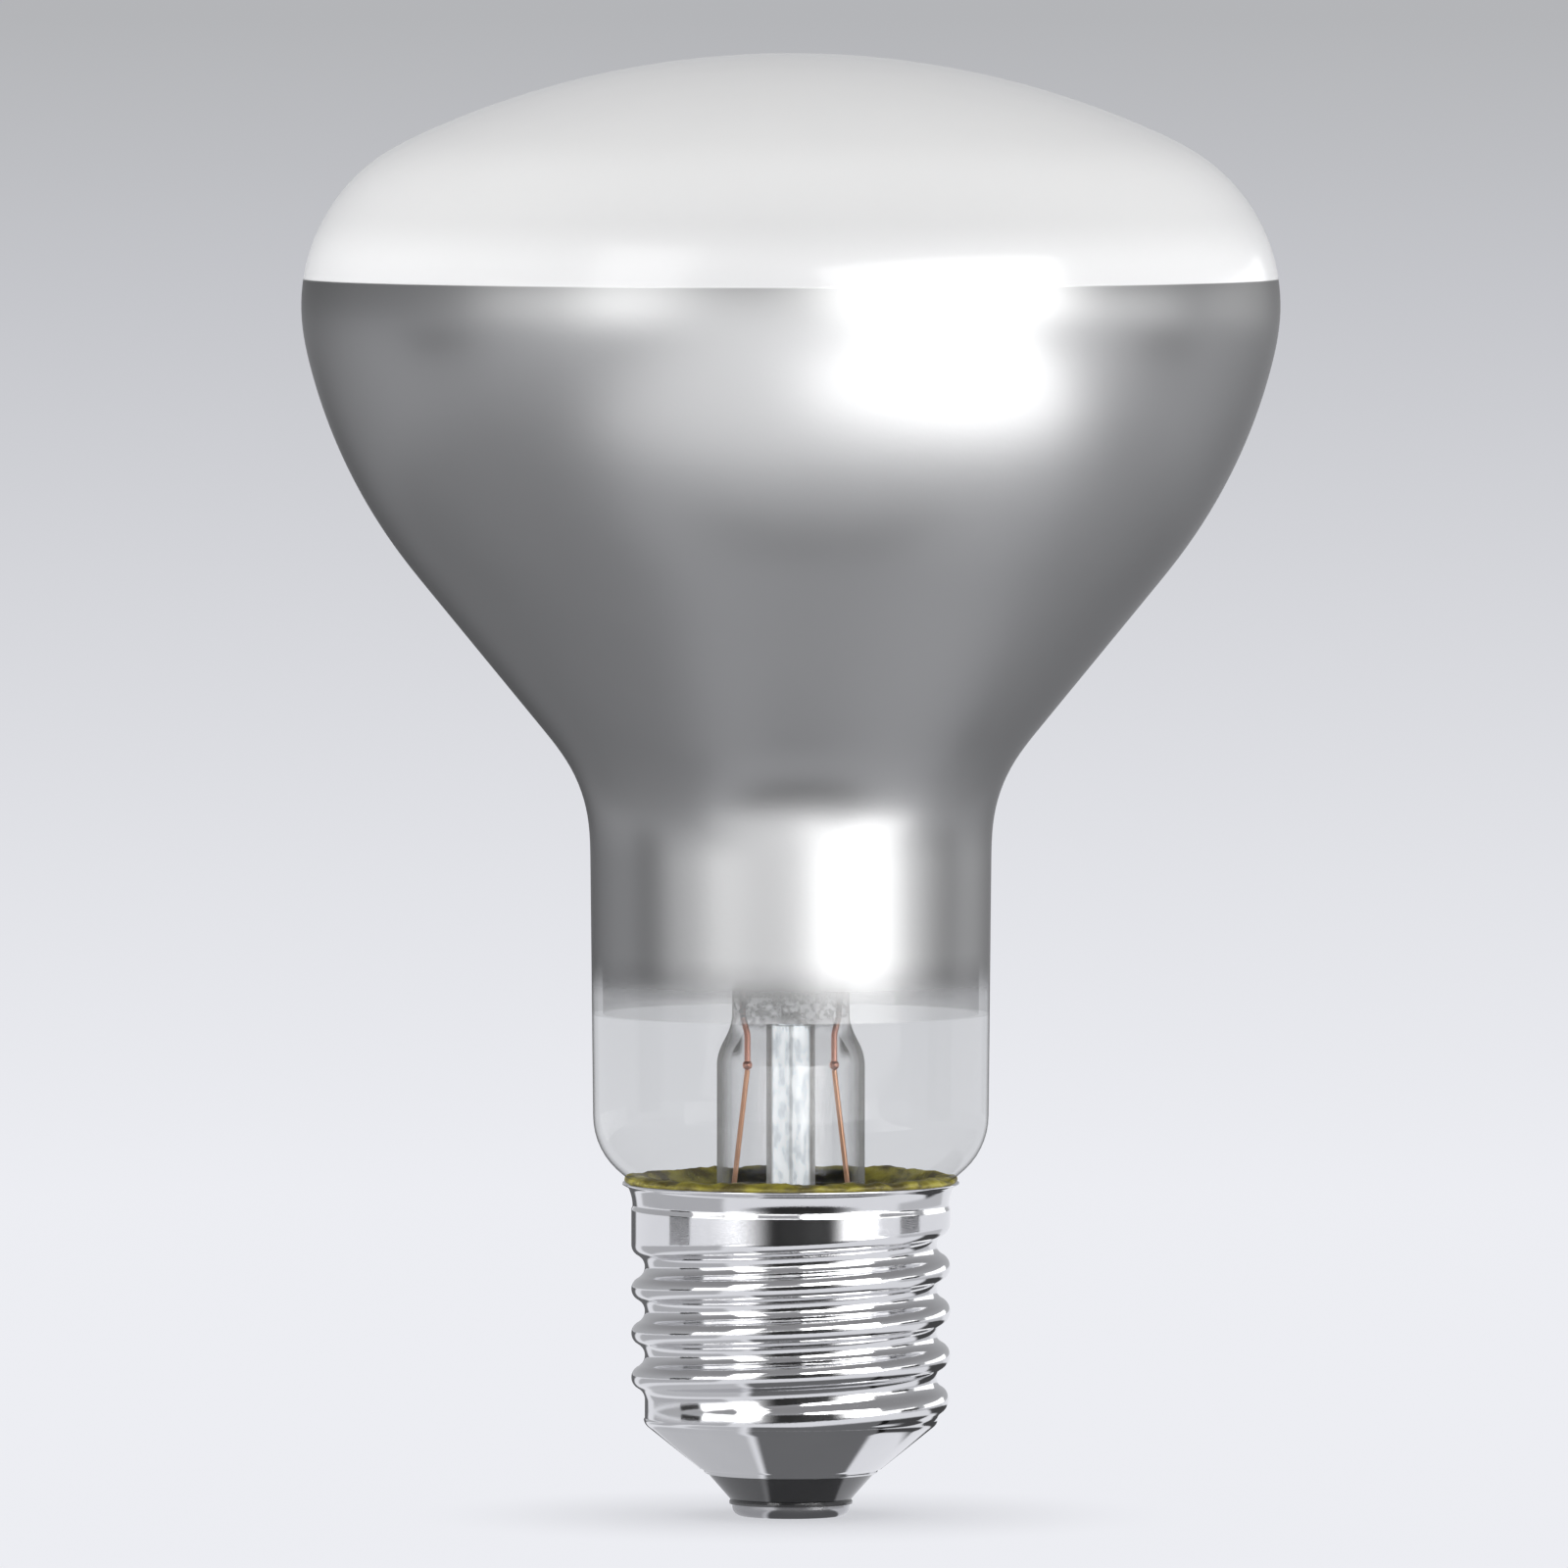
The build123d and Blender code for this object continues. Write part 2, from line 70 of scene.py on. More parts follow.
# %% Shader sums
class Channel:
    """One output socket of a finish, usable in sums with numbers and other channels."""

    def __init__(self, finish, socket):
        self.finish = finish
        self.socket = socket

    def math(self, operation, *values):
        inputs = {name: value for name, value in zip(("Value", "Value_001", "Value_002"), values)}
        return self.finish.node("ShaderNodeMath", {"operation": operation}, inputs)

    def __add__(self, other):
        return self.math("ADD", self, other)

    __radd__ = __add__

    def __sub__(self, other):
        return self.math("SUBTRACT", self, other)

    def __rsub__(self, other):
        return self.math("SUBTRACT", other, self)

    def __mul__(self, other):
        return self.math("MULTIPLY", self, other)

    __rmul__ = __mul__

    def __truediv__(self, other):
        return self.math("DIVIDE", self, other)

    def __pow__(self, other):
        return self.math("POWER", self, other)

    def larger(self, other):
        return self.math("MAXIMUM", self, other)


# %% [markdown]
# ## Finish trees
# Every other node comes from one method, `Finish.node`: its kind, its settings, then what goes
# into its sockets. The short methods below it wrap the few nodes that come up again and again,
# such as a soft step, a colour mix or a random pattern.

# %% Finish trees
class Finish:
    """Node tree of a material or of the world."""

    def __init__(self, owner):
        owner.use_nodes = True
        self.owner = owner
        self.tree = owner.node_tree
        self.tree.nodes.clear()

    def node(self, kind, settings=None, inputs=None, out=0):
        """Adds a node, makes its settings, fills its sockets and returns one output."""
        node = self.tree.nodes.new(kind)
        for name, value in (settings or {}).items():
            if name == "stops":
                self.set_stops(node.color_ramp.elements, value)
            else:
                setattr(node, name, value)
        for name, value in (inputs or {}).items():
            socket = self.find(node.inputs, name)
            if isinstance(value, Channel):
                self.tree.links.new(value.socket, socket)
            else:
                socket.default_value = value
        return Channel(self, self.find(node.outputs, out)) if node.outputs else None

    @staticmethod
    def find(sockets, name):
        """The socket of that identifier, name or number."""
        if isinstance(name, int):
            return sockets[name]
        for socket in sockets:
            if socket.identifier == name:
                return socket
        return sockets[name]

    @staticmethod
    def set_stops(elements, stops):
        while len(elements) < len(stops):
            elements.new(1)
        for element, (place, colour) in zip(elements, stops):
            element.position = place
            element.color = (*colour, 1)

    def ramp(self, value, low, high):
        """0 to 1 as value goes from low to high, smooth at both ends. High may be under low."""
        return self.node(
            "ShaderNodeMapRange",
            {"interpolation_type": "SMOOTHSTEP"},
            {"Value": value, "From Min": low, "From Max": high},
        )

    def mix(self, factor, first, second):
        """Colour that goes from first to second."""
        inputs = {"Factor_Float": factor, "A_Color": first, "B_Color": second}
        return self.node("ShaderNodeMix", {"data_type": "RGBA"}, inputs, "Result_Color")

    def place(self, axis=None):
        """Where a point of the lamp is, in metres, or one of its three coordinates."""
        coordinates = self.node("ShaderNodeTexCoord", out="Object")
        if axis is None:
            return coordinates
        return self.node("ShaderNodeSeparateXYZ", inputs={"Vector": coordinates}, out=axis)

    def noise(self, size, detail=2, stretch=None):
        """Soft random pattern with features of about that size, 0 to 1."""
        vector = self.place()
        if stretch:
            vector = self.stretched(vector, stretch)
        inputs = {"Vector": vector, "Scale": 1 / size, "Detail": detail}
        return self.node("ShaderNodeTexNoise", inputs=inputs)

    def stretched(self, vector, factors):
        """Vector with each coordinate multiplied by its own factor."""
        inputs = {"Vector": vector, "Vector_001": factors}
        return self.node("ShaderNodeVectorMath", {"operation": "MULTIPLY"}, inputs)

    def length(self, vector):
        """Length of a vector."""
        inputs = {"Vector": vector}
        return self.node("ShaderNodeVectorMath", {"operation": "LENGTH"}, inputs, "Value")

    def bump(self, height, depth):
        """Normal of a surface with that relief. Depth is in metres."""
        return self.node("ShaderNodeBump", inputs={"Height": height, "Distance": depth})

    def mix_shaders(self, factor, first, second):
        """Shader that goes from first to second."""
        inputs = {"Fac": factor, "Shader": first, "Shader_001": second}
        return self.node("ShaderNodeMixShader", inputs=inputs)

    def surface(self, shader):
        """Ends the tree with this shader."""
        is_world = isinstance(self.owner, bpy.types.World)
        kind = "ShaderNodeOutputWorld" if is_world else "ShaderNodeOutputMaterial"
        self.node(kind, inputs={"Surface": shader})
        return self.owner


def new_finish(name):
    return Finish(bpy.data.materials.new(name))


def grey(level):
    """Colour of an even grey, from 0 to 1 in linear light."""
    return (level, level, level, 1)


# %% [markdown]
# ## Background and floor
# The backdrop of the picture runs from a pale floor to a mid grey above. One large floor does
# this: its colour goes darker with the distance from the lamp, the same all round. Rays from
# the camera, mirror reflections and rays through glass see the plain colour. Light itself sees
# a matt floor, part of which is mixed in close to the lamp so that its shadow stays.
#
# Polished metal shows what lies around it. In the picture the thread has a dark middle, dark
# undersides on the right and a thin dark edge on the left, so the floor gets dark zones that
# only reflections see.

# %% Background and floor
FLOOR_TONES = [
    (0.0, (0.855, 0.863, 0.904)),
    (0.2, (0.850, 0.858, 0.900)),
    (0.39, (0.768, 0.776, 0.815)),
    (0.57, (0.671, 0.678, 0.714)),
    (0.75, (0.564, 0.571, 0.603)),
    (0.92, (0.461, 0.467, 0.485)),
]
HALF_WAY = 1.7
SHADOW_REACH = 5 * MM, 32 * MM
PLAIN_AT_LAMP = 0.6
PLAIN_AWAY = 0.97
ZONE_EDGE = 3
ZONE_FADE = 0.1
# Each zone: its turns round the lamp in degrees to the right of the camera, its near and far
# distance in mm, and how much it darkens.
DARK_ZONES = [
    ((-26, 62), (0, 25), 0.82),
    ((60, 112), (14, 24), 0.93),
    ((112, 172), (28, 75), 0.93),
    ((-150, -32), (0, 25), 0.35),
    ((-178, -150), (30, 900), 0.85),
    ((-135, -48), (38, 210), 0.42),
    ((82, 140), (72, 210), 0.32),
]


def light_path(finish, name):
    return finish.node("ShaderNodeLightPath", out=name)


def seen_directly(finish):
    """1 for rays from the camera, off gloss and through glass, else 0."""
    seen = light_path(finish, "Is Camera Ray")
    for name in ("Is Glossy Ray", "Is Transmission Ray"):
        seen = seen.larger(light_path(finish, name))
    return seen


def sector(finish, turns, reach):
    """1 on the floor between two turns and two distances from the lamp, 0 outside, soft between."""
    turn = finish.place("X").math("ARCTAN2", finish.place("X"), 0 - finish.place("Y")) * (180 / pi)
    distance = finish.length(finish.place())
    near, far = reach[0] * MM, reach[1] * MM
    mask = finish.ramp(turn, turns[0] - ZONE_EDGE, turns[0] + ZONE_EDGE)
    mask = mask * finish.ramp(turn, turns[1] + ZONE_EDGE, turns[1] - ZONE_EDGE)
    mask = mask * finish.ramp(distance, far * (1 + ZONE_FADE), far * (1 - ZONE_FADE))
    if near:
        mask = mask * finish.ramp(distance, near * (1 - ZONE_FADE), near * (1 + ZONE_FADE))
    return mask


def floor_finish():
    finish = new_finish("studio_floor")
    distance = finish.length(finish.place())
    far = distance / (distance + HALF_WAY)
    tone = finish.node("ShaderNodeValToRGB", {"stops": FLOOR_TONES}, {"Fac": far}, "Color")
    dark = 0.0
    for turns, reach, strength in DARK_ZONES:
        dark = sector(finish, turns, reach) * strength + dark
    shown = finish.mix(light_path(finish, "Is Glossy Ray") * dark, tone, grey(0.01))
    plain = finish.node("ShaderNodeEmission", inputs={"Color": shown})
    matt = finish.node("ShaderNodeBsdfDiffuse", inputs={"Color": finish.mix(0.4, tone, grey(0))})
    clear_of_lamp = finish.ramp(distance, *SHADOW_REACH)
    plain_share = PLAIN_AT_LAMP + (PLAIN_AWAY - PLAIN_AT_LAMP) * clear_of_lamp
    share = seen_directly(finish) * plain_share
    share = share.larger(light_path(finish, "Is Glossy Ray"))
    return finish.surface(finish.mix_shaders(share, matt, plain))


FLOOR_R = 60
floor_mesh = bpy.data.meshes.new("floor")
floor_points = [(FLOOR_R * cos(radians(a)), FLOOR_R * sin(radians(a)), 0) for a in range(0, 360, 6)]
floor_mesh.from_pydata(floor_points, [], [list(range(len(floor_points)))])
floor_mesh.materials.append(floor_finish())
floor_object = bpy.data.objects.new("floor", floor_mesh)
bpy.context.scene.collection.objects.link(floor_object)
camera_data.clip_end = 2 * FLOOR_R

# %% [markdown]
# ## Sky
# The world is what rays meet that miss everything. Seen directly, it carries the backdrop's
# tone on from the floor's far edge. As a light it glows from straight above and, more so, from
# low down at both sides. That shapes the white dome: even, and brighter towards its edge.

# %% Sky
HORIZON = (0.461, 0.467, 0.485, 1)
ZENITH = (0.30, 0.30, 0.31, 1)
LIGHT_ABOVE = 2.2
LIGHT_SIDES = 0.7
LIGHT_LEVEL = 1.9
LIGHT_LEVEL_SIDES = 3.6

world = bpy.data.worlds.new("studio")
bpy.context.scene.world = world
sky = Finish(world)
ray = sky.node("ShaderNodeTexCoord", out="Generated")
up = sky.node("ShaderNodeSeparateXYZ", inputs={"Vector": ray}, out="Z")
sideways = sky.node("ShaderNodeSeparateXYZ", inputs={"Vector": ray}, out="X")
backdrop = sky.mix(sky.ramp(up, 0.0, 0.7), HORIZON, ZENITH)
level_light = sky.ramp(up, 0.5, 0.0) * (sideways**2 * LIGHT_LEVEL_SIDES + LIGHT_LEVEL)
glow = sky.ramp(up, 0.6, 1.0) * LIGHT_ABOVE + sideways**2 * LIGHT_SIDES + level_light
glow_colour = sky.node("ShaderNodeCombineColor", inputs={"Red": glow, "Green": glow, "Blue": glow})
seen = sky.mix(seen_directly(sky), glow_colour, backdrop)
sky.surface(sky.node("ShaderNodeBackground", inputs={"Color": seen}))
print("sky: light from above", LIGHT_ABOVE, "and from the sides", LIGHT_SIDES)

# %% [markdown]
# ## Soft boxes
# A strong wide soft box stands in front of the lamp on the right and weaker ones on the left.
# They leave the long highlights on the bowl and the neck. Two low ones at the right and the
# back give the bowl its pale rim. An area light's power spreads over its size, so it is worked
# out here from the brightness that the box shows in a mirror. The boxes work in mirrors only:
# the sky lights the matt surfaces from all sides alike, and glass would multiply a box's image.

# %% Soft boxes


def soft_box(name, turn, place, width, tall, glow):
    """Area light of that radiance, aimed at the bowl. Place is (distance, height) in metres."""
    data = bpy.data.lights.new(name, "AREA")
    data.shape = "RECTANGLE"
    data.size = width
    data.size_y = tall
    data.energy = 4 * glow * width * tall
    box = bpy.data.objects.new(name, data)
    distance, height = place
    box.location = (distance * sin(radians(turn)), -distance * cos(radians(turn)), height)
    bowl = Vector((0, 0, 0.07))
    box.rotation_euler = (bowl - box.location).to_track_quat("-Z", "Y").to_euler()
    box.visible_camera = False
    box.visible_transmission = False
    box.visible_diffuse = False
    bpy.context.scene.collection.objects.link(box)
    return box


soft_box("right_box", 38, (1.2, 0.40), 1.36, 0.80, 3.9)
soft_box("side_box", 84, (1.2, 0.13), 0.8, 0.26, 1.1)
soft_box("rim_box", 132, (1.2, 0.13), 0.8, 0.26, 0.9)
soft_box("front_box", -20, (1.25, 0.20), 1.2, 0.40, 0.95)
soft_box("left_box", -37, (1.2, 0.50), 0.5, 1.00, 1.7)
soft_box("left_wide_box", -58, (1.2, 0.20), 0.8, 0.40, 1.1)

# %% [markdown]
# ## Lit floor and dark cards
# The bowl leans over the floor, so it mirrors the floor more than the boxes. Lit panels on the
# floor carry each highlight on downwards, from near the lamp out to below its box. Black cards
# do the opposite: they are seen in polished metal, or only through glass, and give it dark
# bands and edges.

# %% Lit floor and dark cards


def floor_panel(name, turn, near, far, width, glow):
    """Soft light that lies on the floor and shines up."""
    box = soft_box(name, turn, ((near + far) / 2, 0.001), width, far - near, glow)
    box.rotation_euler = (pi, 0, radians(turn))


def dark_card(name, turn, distance, width, tall, solid=0.5, through_glass=False):
    """Upright black card that only reflections see, or only rays through glass.

    Solid is the share of its width, from the middle out, at which it starts to fade away.
    """
    finish = new_finish(name)
    black = finish.node("ShaderNodeBsdfDiffuse", inputs={"Color": grey(0.03)})
    nothing = finish.node("ShaderNodeBsdfTransparent")
    across = finish.place("X")
    cover = finish.ramp(across.math("ABSOLUTE", across), 0.501 * width, solid * width)
    shader = finish.mix_shaders(cover, nothing, black)
    mesh = bpy.data.meshes.new(name)
    corners = [(-width / 2, 0, 0), (width / 2, 0, 0), (width / 2, 0, tall), (-width / 2, 0, tall)]
    mesh.from_pydata(corners, [], [(0, 1, 2, 3)])
    mesh.materials.append(finish.surface(shader))
    card = bpy.data.objects.new(name, mesh)
    card.location = (distance * sin(radians(turn)), -distance * cos(radians(turn)), 0)
    card.rotation_euler = (0, 0, radians(turn))
    card.visible_camera = False
    card.visible_diffuse = False
    card.visible_shadow = False
    card.visible_glossy = not through_glass
    card.visible_transmission = through_glass
    bpy.context.scene.collection.objects.link(card)


floor_panel("right_floor_panel", 37, 0.145, 0.45, 0.22, 3.6)
floor_panel("right_far_panel", 34, 0.45, 1.15, 0.58, 3.2)
floor_panel("front_floor_panel", -6, 0.11, 0.45, 0.22, 0.95)
floor_panel("front_far_panel", -20, 0.45, 1.15, 0.75, 1.0)
dark_card("card_front", 7, 0.06, 0.12, 0.028, 0.15)
dark_card("card_left", -87, 0.34, 0.12, 0.05)
dark_card("card_right", 95, 0.34, 0.12, 0.05)
dark_card("card_left_of_glass", -90, 0.35, 0.5, 0.06, through_glass=True)
dark_card("card_right_of_glass", 90, 0.35, 0.5, 0.06, through_glass=True)

# %% [markdown]
# ## Turned forms
# Glass, cap and cement are round about one axis. Each is a list of rows, and a row gives the
# radius and height at any turn. The rows are joined to one mesh with even normals, finer than
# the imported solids, because polished surfaces show every facet and every seam.

# %% Turned forms


def ring_mesh(name, rows, sides, finish, poles=None, inside=None):
    """Closed form of rows round the axis. A row is a function of the turn that gives (r, z) in mm.

    Without poles the last row joins the first. With poles, two heights, both ends close there.
    Inside is (row, finish): from that row on the faces take that finish.
    """
    points = []
    for row in rows:
        for side in range(sides):
            turn = 360 * side / sides
            r, z = row(turn)
            points.append((r * cos(radians(turn)) * MM, r * sin(radians(turn)) * MM, z * MM))
    faces = []
    for i in range(len(rows) - 1 if poles else len(rows)):
        low = i * sides
        high = (i + 1) % len(rows) * sides
        for side in range(sides):
            after = (side + 1) % sides
            faces.append((low + side, high + side, high + after, low + after))
    if poles:
        first, last = len(points), len(points) - sides
        points += [(0, 0, z * MM) for z in poles]
        for side in range(sides):
            after = (side + 1) % sides
            faces.append((side, after, first))
            faces.append((last + after, last + side, first + 1))
    mesh = bpy.data.meshes.new(name)
    mesh.from_pydata(points, [], faces)
    mesh.shade_smooth()
    mesh.materials.append(finish)
    if inside:
        mesh.materials.append(inside[1])
        for face in mesh.polygons[inside[0] * sides :]:
            face.material_index = 1
    piece = bpy.data.objects.new(name, mesh)
    bpy.context.scene.collection.objects.link(piece)
    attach(piece, "root")
    print(name, "has", len(mesh.polygons), "faces")
    return piece


def level_row(r, z):
    """Row that is an exact circle."""
    return lambda turn: (r, z)


def arc_rows(centre, radius, start, end, steps):
    """Level rows along an arc. Angles are in degrees, from outward, upward being positive."""
    rows = []
    for step in range(steps + 1):
        a = radians(start + (end - start) * step / steps)
        rows.append(level_row(centre[0] + radius * cos(a), centre[1] + radius * sin(a)))
    return rows


# %% [markdown]
# ## Screw thread
# The cap's shell is thin sheet, rolled into a round thread. A modeller could sweep one groove
# along a helix, but its ends would stop dead. Here the radius of every point comes from one
# wave that climbs a pitch a turn, and the wave fades where the thread runs out, as the roller
# lifts off the sheet.

# %% Screw thread
PITCH = 25.4 / 7
CREST_R = 26.1 / 2
ROOT_R = 23.9 / 2
ROOT_Z = 22.2
COLLAR_Z = 25.15
THREAD_END_Z = 8.0
GROOVE_FADE = 20, 110
RIDGE_FADE = -1450, -1210


def wave(phase):
    """Height over the thread's root, 0 to 1, from arcs that meet without a kink."""
    quarter = PITCH / 4
    half_depth = (CREST_R - ROOT_R) / 2
    arc_r = (quarter**2 + half_depth**2) / (2 * half_depth)
    offset = abs(phase - round(phase)) * PITCH
    if offset <= quarter:
        rise = arc_r - sqrt(arc_r**2 - offset**2)
    else:
        rise = 2 * half_depth - arc_r + sqrt(arc_r**2 - (2 * quarter - offset) ** 2)
    return rise / (2 * half_depth)


def fade(turn, limits):
    """0 to 1 between two turns along the thread, level at both ends."""
    share = min(max((turn - limits[0]) / (limits[1] - limits[0]), 0), 1)
    return share * share * (3 - 2 * share)


def thread_radius(turn, z):
    """Outer radius of the thread at that turn round the axis, in degrees, and height."""
    depth = CREST_R - ROOT_R
    phase = (z - ROOT_Z) / PITCH - turn / 360
    if z > (ROOT_Z + THREAD_END_Z) / 2:
        groove_turn = turn + 360 * round(phase)
        return CREST_R - depth * (1 - wave(phase)) * (1 - fade(groove_turn, GROOVE_FADE))
    crest_turn = turn + 360 * (floor(phase) + 0.5)
    return ROOT_R + depth * wave(phase) * fade(crest_turn, RIDGE_FADE)


def thread_row(z, inset):
    return lambda turn: (thread_radius(turn, z) - inset, z)


print("thread:", round((ROOT_Z - THREAD_END_Z) / PITCH, 1), "turns of", round(PITCH, 2), "mm")

# %% [markdown]
# ## Cap shell
# From its mouth down, the shell is a flared rim, a smooth collar, the thread and a cone. Two
# skins of rows a sheet's thickness apart make it a real hollow part. Small arcs round the rim,
# the foot of the thread and the lip of the cone: these catch the thin bright lines that tell
# the eye the sheet is bent, not cut. The metal is brass with a bright nickel plating, so it is
# nearly a mirror with a breath of haze.

# %% Cap shell
SHEET = 0.3
COLLAR_R = 25.9 / 2
MOUTH_FLARE = 0.46
MOUTH_R = 3.5
CAP_TOP_Z = 27.1
RIM_LIP = 0.36
RIM_LIP_RISE = 0.14
CONE_TOP_R = 24.1 / 2
CONE_TOP_BEND = 0.9
CONE_BOTTOM_R = 14.6 / 2
CONE_BOTTOM_Z = 3.75
CONE_LIP_R = 14.2 / 2
CONE_LIP_BEND = 0.22
CONE_FOOT_Z = 3.45
CONE_SHARES = 0.03, 0.25, 0.5, 0.75, 0.93, 0.97
OUTSIDE_ROWS_A_PITCH = 28
INSIDE_ROWS_A_PITCH = 8
CAP_SIDES = 240
mouth_angle = degrees(acos(1 - MOUTH_FLARE / MOUTH_R))
mouth_foot_z = CAP_TOP_Z - MOUTH_R * sin(radians(mouth_angle))
cone_slope = degrees(atan2(THREAD_END_Z - CONE_BOTTOM_Z, CONE_TOP_R - CONE_BOTTOM_R))


def shell_rows(inset, rows_a_pitch):
    """Rows from the flared mouth down to the foot, moved in by inset."""
    centre = COLLAR_R + MOUTH_R, mouth_foot_z
    rows = arc_rows(centre, MOUTH_R + inset, 180 - mouth_angle, 180, 8)
    rows[0] = level_row(COLLAR_R + MOUTH_FLARE - inset, CAP_TOP_Z - SHEET / 2)
    lip_edge_z = CAP_TOP_Z + RIM_LIP_RISE - SHEET / 3 + inset / 2
    rows.insert(0, level_row(COLLAR_R + MOUTH_FLARE + RIM_LIP, lip_edge_z))
    count = ceil(rows_a_pitch * (COLLAR_Z - THREAD_END_Z) / PITCH)
    for step in range(count + 1):
        rows.append(thread_row(COLLAR_Z + (THREAD_END_Z - COLLAR_Z) * step / count, inset))
    bend_centre = CONE_TOP_R - CONE_TOP_BEND, THREAD_END_Z
    rows += arc_rows(bend_centre, CONE_TOP_BEND - inset, -8, cone_slope - 90, 6)
    start_r = bend_centre[0] + (CONE_TOP_BEND - inset) * sin(radians(cone_slope))
    start_z = bend_centre[1] - (CONE_TOP_BEND - inset) * cos(radians(cone_slope))
    end_r, end_z = CONE_BOTTOM_R - inset, CONE_BOTTOM_Z
    for share in CONE_SHARES:
        rows.append(level_row(start_r + (end_r - start_r) * share, start_z + (end_z - start_z) * share))
    lip_centre = CONE_LIP_R - CONE_LIP_BEND, CONE_FOOT_Z + CONE_LIP_BEND
    lip_r = CONE_LIP_BEND - inset / 2
    rows += arc_rows(lip_centre, lip_r, 20, -80, 4)
    return rows


def cap_metal():
    finish = new_finish("cap_metal")
    fine = finish.noise(0.25 * MM, 3, stretch=(1, 1, 6))
    cloud = finish.noise(5 * MM, 3)
    shader = finish.node(
        "ShaderNodeBsdfPrincipled",
        inputs={
            "Base Color": finish.mix(cloud, (0.72, 0.72, 0.73, 1), (0.80, 0.80, 0.81, 1)),
            "Metallic": 1.0,
            "Roughness": 0.05 + 0.04 * cloud + 0.02 * fine,
            "Normal": finish.bump(fine, 0.002 * MM),
        },
    )
    return finish.surface(shader)


outside = shell_rows(0, OUTSIDE_ROWS_A_PITCH)
inside = shell_rows(SHEET, INSIDE_ROWS_A_PITCH)
cap = ring_mesh("cap_shell_rolled", outside + inside[::-1], CAP_SIDES, cap_metal())
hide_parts("cap_shell")

# %% [markdown]
# ## Bulb outline
# The bulb is one blown glass. Its outline is a chain of arcs and straight runs that meet
# without a corner: a flat crown, a tight shoulder, a wide bowl, a straight wall, a throat that
# bends the other way, the neck, its heel, and a tuck down to the seal. Each is given by its
# length and by its slope at both ends, which is all that a tangent chain needs.

# %% Bulb outline
LAMP_H = 119.6
BULB_R = 80.0 / 2
GLASS_T = 0.9
CROWN_R = 72.5
SHOULDER_R = 14.8
SHOULDER_DIP = 12.0
BOWL_R = 44.3
BOWL_ANGLE = 39.3
THROAT_R = 12.2
NECK_R = 32.8 / 2
NECK_TAPER = 0.6
HEEL_Z = CAP_TOP_Z + 5.6
HEEL_R = 6.0
HEEL_ANGLE = 50.0
TUCK_R = 2.5
SEAL_R = 21.6 / 2
SEAL_Z = 20.5


def cosd(angle):
    return cos(radians(angle))


def sind(angle):
    return sin(radians(angle))


def drop(length, start, end):
    """How far down a stretch leads whose slope goes from start to end."""
    if start == end:
        return length * sind(start)
    return length / radians(end - start) * (cosd(start) - cosd(end))


def outline_stretches():
    """(length, slope at its start, slope at its end) of each arc and line. 0 is level, 90 is down."""
    crown_angle = degrees(asin((BULB_R - SHOULDER_R) / (CROWN_R - SHOULDER_R)))
    tilt = cosd(NECK_TAPER)
    bowl_start_r = BULB_R - SHOULDER_R * (1 - cosd(SHOULDER_DIP))
    bowl_end_r = bowl_start_r - BOWL_R * (cosd(SHOULDER_DIP) - cosd(BOWL_ANGLE))
    throat_start_r = NECK_R + THROAT_R * (tilt - cosd(BOWL_ANGLE))
    stretches = [
        (CROWN_R * radians(crown_angle), 0, crown_angle),
        (SHOULDER_R * radians(90 - crown_angle + SHOULDER_DIP), crown_angle, 90 + SHOULDER_DIP),
        (BOWL_R * radians(BOWL_ANGLE - SHOULDER_DIP), 90 + SHOULDER_DIP, 90 + BOWL_ANGLE),
        ((bowl_end_r - throat_start_r) / sind(BOWL_ANGLE), 90 + BOWL_ANGLE, 90 + BOWL_ANGLE),
        (THROAT_R * radians(BOWL_ANGLE - NECK_TAPER), 90 + BOWL_ANGLE, 90 + NECK_TAPER),
    ]
    neck_line = (LAMP_H - sum(drop(*stretch) for stretch in stretches) - HEEL_Z) / tilt
    heel_end_r = NECK_R - neck_line * sind(NECK_TAPER) - HEEL_R * (tilt - cosd(HEEL_ANGLE))
    tuck_start_r = SEAL_R + TUCK_R * (1 - cosd(HEEL_ANGLE))
    stretches += [
        (neck_line, 90 + NECK_TAPER, 90 + NECK_TAPER),
        (HEEL_R * radians(HEEL_ANGLE - NECK_TAPER), 90 + NECK_TAPER, 90 + HEEL_ANGLE),
        ((heel_end_r - tuck_start_r) / sind(HEEL_ANGLE), 90 + HEEL_ANGLE, 90 + HEEL_ANGLE),
        (TUCK_R * radians(HEEL_ANGLE), 90 + HEEL_ANGLE, 90),
    ]
    stretches.append((LAMP_H - sum(drop(*stretch) for stretch in stretches) - SEAL_Z, 90, 90))
    return stretches


stretches = outline_stretches()
print("outline:", len(stretches), "stretches,", round(sum(row[0] for row in stretches), 1), "mm long")

# %% [markdown]
# ## Rows down the bulb
# Where two arcs meet, the bend changes at once, and a mirror shows that as a faint line. Blown
# glass has no such line. So the slope is first averaged over a short stretch, and only then
# added up to points. The little that this moves the foot is spread back over the outline.

# %% Rows down the bulb
STEP = 0.05
EASE = 4.0
FOOT_EASE = 0.8
OUTER_ROWS_APART = 0.7
INNER_ROWS_APART = 1.4
INSIDE_CAD = 0.005


